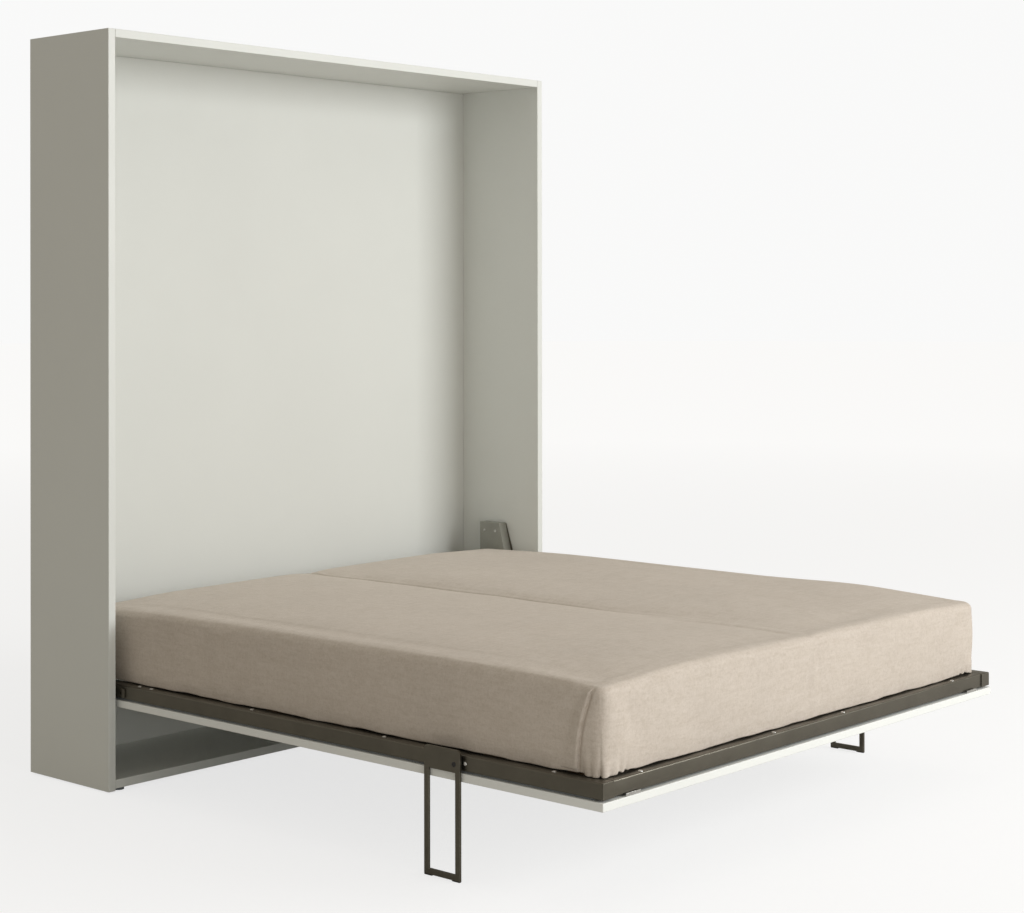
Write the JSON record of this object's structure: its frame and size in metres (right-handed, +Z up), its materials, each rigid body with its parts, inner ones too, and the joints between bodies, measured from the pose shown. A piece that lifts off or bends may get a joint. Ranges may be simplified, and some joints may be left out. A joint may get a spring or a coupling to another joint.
{
  "type": "murphy wall bed",
  "caption": "Vertical fold-down double wall bed: shallow white cabinet, steel frame with fitted mattress, and loop legs that stay upright as it swings.",
  "frame": {"origin": "on the floor, under the middle of the outline of the cabinet and the lowered bed", "axes": "+Z up, +X across the cabinet to the viewer's right when facing it, -Y from the wall toward the foot of the lowered bed"},
  "size_m": [1.944, 2.212, 2.24],
  "materials": {
    "carcass_laminate": "white melamine laminate with a faint fine texture, satin",
    "back_board": "white melamine hardboard, matt",
    "front_laminate": "white laminate, satin",
    "frame_steel": "dark bronze-grey metallic powder coat, satin",
    "cover_steel": "mid-grey powder coat, satin",
    "zinc_steel": "zinc-plated steel",
    "strut_black": "black painted steel tube",
    "strut_rod_chrome": "ground and plated rod",
    "grey_plastic": "moulded grey plastic",
    "black_rubber": "black glide pad",
    "birch_slat": "varnished birch ply",
    "linen_cover": "beige woven linen-look cover, matt"
  },
  "bodies": {
    "cabinet": {"side_panel_left": "carcass_laminate", "side_panel_right": "carcass_laminate", "top_panel": "carcass_laminate", "bottom_panel": "carcass_laminate", "back_panel": "back_board", "levelling_foot_front_left": "grey_plastic", "levelling_foot_front_right": "grey_plastic", "levelling_foot_rear_left": "grey_plastic", "levelling_foot_rear_right": "grey_plastic", "wall_bracket_left": "zinc_steel", "hinge_plate_left": "frame_steel", "mechanism_cover_left": "cover_steel", "pivot_pin_left": "zinc_steel", "wall_bracket_right": "zinc_steel", "hinge_plate_right": "frame_steel", "mechanism_cover_right": "cover_steel", "pivot_pin_right": "zinc_steel"},
    "bed": {"front_panel": "front_laminate", "foot_rail": "frame_steel", "head_rail": "frame_steel", "centre_rail": "frame_steel", "slat_1": "birch_slat", "slat_2": "birch_slat", "slat_3": "birch_slat", "slat_4": "birch_slat", "slat_5": "birch_slat", "slat_6": "birch_slat", "slat_7": "birch_slat", "slat_8": "birch_slat", "hinge_arm_left": "frame_steel", "side_rail_left": "frame_steel", "rail_end_cap_left": "frame_steel", "strut_bracket_left": "frame_steel", "leg_pivot_left": "zinc_steel", "panel_spacer_left": "grey_plastic", "panel_clip_left": "zinc_steel", "mattress_left": "linen_cover", "hinge_arm_right": "frame_steel", "side_rail_right": "frame_steel", "rail_end_cap_right": "frame_steel", "strut_bracket_right": "frame_steel", "leg_pivot_right": "zinc_steel", "panel_spacer_right": "grey_plastic", "panel_clip_right": "zinc_steel", "mattress_right": "linen_cover"},
    "leg_left": {"leg_left": "frame_steel", "leg_glide_left_foot_side": "black_rubber", "leg_glide_left_head_side": "black_rubber", "leg_link_bolt_left": "zinc_steel"},
    "leg_link_left": {"leg_link_rod_left": "zinc_steel"},
    "strut_cylinder_left": {"strut_cylinder_left": "strut_black"},
    "strut_rod_left": {"strut_rod_left": "strut_rod_chrome"},
    "leg_right": {"leg_right": "frame_steel", "leg_glide_right_foot_side": "black_rubber", "leg_glide_right_head_side": "black_rubber", "leg_link_bolt_right": "zinc_steel"},
    "leg_link_right": {"leg_link_rod_right": "zinc_steel"},
    "strut_cylinder_right": {"strut_cylinder_right": "strut_black"},
    "strut_rod_right": {"strut_rod_right": "strut_rod_chrome"}
  },
  "joints": [
    {"name": "bed_swing", "type": "hinge", "parent": "cabinet", "child": "bed", "pos_m": [0, 0.788, 0.316], "axis": [-1, 0, 0], "range_deg": [0, 90]},
    {"name": "leg_fold_left", "type": "hinge", "parent": "bed", "child": "leg_left", "pos_m": [-0.94, -0.626, 0.303], "axis": [-1, 0, 0], "range_deg": [-90, 0]},
    {"name": "leg_link_left", "type": "hinge", "parent": "cabinet", "child": "leg_link_left", "pos_m": [-0.914, 0.776, 0.304], "axis": [-1, 0, 0], "range_deg": [0, 90]},
    {"name": "strut_top_left", "type": "hinge", "parent": "cabinet", "child": "strut_cylinder_left", "pos_m": [-0.9195, 0.87791, 0.53852], "axis": [-1, 0, 0], "range_deg": [0, 45]},
    {"name": "strut_bottom_left", "type": "hinge", "parent": "bed", "child": "strut_rod_left", "pos_m": [-0.9195, 1.02777, 0.32647], "axis": [-1, 0, 0], "range_deg": [-45, 0]},
    {"name": "leg_fold_right", "type": "hinge", "parent": "bed", "child": "leg_right", "pos_m": [0.94, -0.626, 0.303], "axis": [-1, 0, 0], "range_deg": [-90, 0]},
    {"name": "leg_link_right", "type": "hinge", "parent": "cabinet", "child": "leg_link_right", "pos_m": [0.914, 0.776, 0.304], "axis": [-1, 0, 0], "range_deg": [0, 90]},
    {"name": "strut_top_right", "type": "hinge", "parent": "cabinet", "child": "strut_cylinder_right", "pos_m": [0.9195, 0.87791, 0.53852], "axis": [-1, 0, 0], "range_deg": [0, 45]},
    {"name": "strut_bottom_right", "type": "hinge", "parent": "bed", "child": "strut_rod_right", "pos_m": [0.9195, 1.02777, 0.32647], "axis": [-1, 0, 0], "range_deg": [-45, 0]}
  ],
  "couplings": [
    {"joint": "leg_fold_left", "follows": "bed_swing", "ratio": -1},
    {"joint": "leg_link_left", "follows": "bed_swing", "ratio": 1},
    {"joint": "strut_top_left", "follows": "bed_swing", "ratio": 0.5},
    {"joint": "strut_bottom_left", "follows": "bed_swing", "ratio": -0.5},
    {"joint": "leg_fold_right", "follows": "bed_swing", "ratio": -1},
    {"joint": "leg_link_right", "follows": "bed_swing", "ratio": 1},
    {"joint": "strut_top_right", "follows": "bed_swing", "ratio": 0.5},
    {"joint": "strut_bottom_right", "follows": "bed_swing", "ratio": -0.5}
  ]
}
